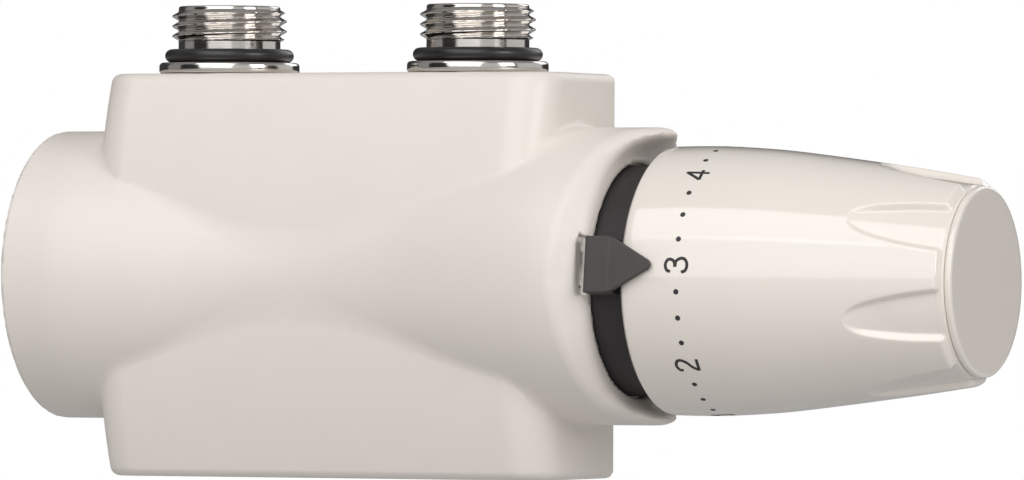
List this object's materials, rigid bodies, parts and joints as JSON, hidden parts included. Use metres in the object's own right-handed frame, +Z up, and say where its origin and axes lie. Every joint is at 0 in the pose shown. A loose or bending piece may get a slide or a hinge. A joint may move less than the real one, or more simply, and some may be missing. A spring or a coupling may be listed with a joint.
{
  "type": "thermostatic radiator valve",
  "caption": "Twin-connection towel radiator valve with a moulded cover, a shut-off and a turning thermostatic head.",
  "frame": {"origin": "on the valve's axis, midway between the two connections", "axes": "+X along the valve's axis towards the thermostatic head, +Z up into the radiator, -Y the front of the cover"},
  "size_m": [0.1824, 0.0657, 0.0856],
  "materials": {
    "white_cover_plastic": "satin, fine grain",
    "glossy_white_plastic": "gloss",
    "inner_white_plastic": "moulded",
    "dark_grey_plastic": "matt",
    "nickel_plate": "bright nickel plate on brass",
    "bare_brass": "turned",
    "stainless_steel": "turned",
    "black_rubber": "smooth",
    "grey_fibre_seal": "pressed fibre"
  },
  "bodies": {
    "valve": {"valve_body": "nickel_plate", "pipe_nipple_left": "nickel_plate", "pipe_nipple_right": "nickel_plate", "radiator_nipple_left": "nickel_plate", "radiator_nipple_right": "nickel_plate", "radiator_o_ring_left": "black_rubber", "radiator_o_ring_right": "black_rubber", "union_seal_left": "grey_fibre_seal", "union_seal_right": "grey_fibre_seal", "union_nut_left": "nickel_plate", "union_nut_right": "nickel_plate", "insert_housing": "bare_brass", "return_spring": "stainless_steel", "gland_nut": "bare_brass", "gland_o_ring": "black_rubber", "shutoff_housing": "bare_brass", "shutoff_cap": "nickel_plate", "cover_shell": "white_cover_plastic", "cover_end_cap": "white_cover_plastic", "head_union_nut": "nickel_plate", "head_base": "dark_grey_plastic", "setting_pointer": "dark_grey_plastic", "knob_snap_ring": "stainless_steel"},
    "knob": {"knob_shell": "glossy_white_plastic", "knob_end_disc": "glossy_white_plastic"},
    "sensor": {"sensor_carrier": "inner_white_plastic", "sensor_capsule": "nickel_plate", "sensor_plunger": "stainless_steel", "overtravel_spring": "stainless_steel"},
    "spindle": {"valve_spindle": "stainless_steel", "cone_seal": "black_rubber", "cone_holder": "bare_brass", "spindle_clip": "stainless_steel"},
    "shutoff_cone": {"shutoff_cone": "bare_brass", "shutoff_o_ring": "black_rubber"},
    "shutoff_spindle": {"shutoff_spindle": "bare_brass"}
  },
  "joints": [
    {"name": "knob_turn", "type": "hinge", "parent": "valve", "child": "knob", "pos_m": [0.09, 0, 0], "axis": [1, 0, 0], "range_deg": [-135, 90]},
    {"name": "sensor_slide", "type": "slide", "parent": "valve", "child": "sensor", "axis": [1, 0, 0], "range_m": [-0.0015, 0.001]},
    {"name": "spindle_slide", "type": "slide", "parent": "valve", "child": "spindle", "axis": [1, 0, 0], "range_m": [-0.0015, 0.001], "deforming": ["return_spring"]},
    {"name": "shutoff_turn", "type": "hinge", "parent": "shutoff_cone", "child": "shutoff_spindle", "pos_m": [-0.035, 0, 0], "axis": [1, 0, 0], "range_deg": [0, 1080]},
    {"name": "shutoff_slide", "type": "slide", "parent": "valve", "child": "shutoff_cone", "axis": [1, 0, 0], "range_m": [0, 0.003]}
  ],
  "couplings": [
    {"joint": "sensor_slide", "follows": "knob_turn", "m_per_rad": 0.00063662},
    {"joint": "spindle_slide", "follows": "knob_turn", "m_per_rad": 0.00063662},
    {"joint": "shutoff_turn", "follows": "shutoff_slide", "rad_per_m": 6283.2}
  ]
}
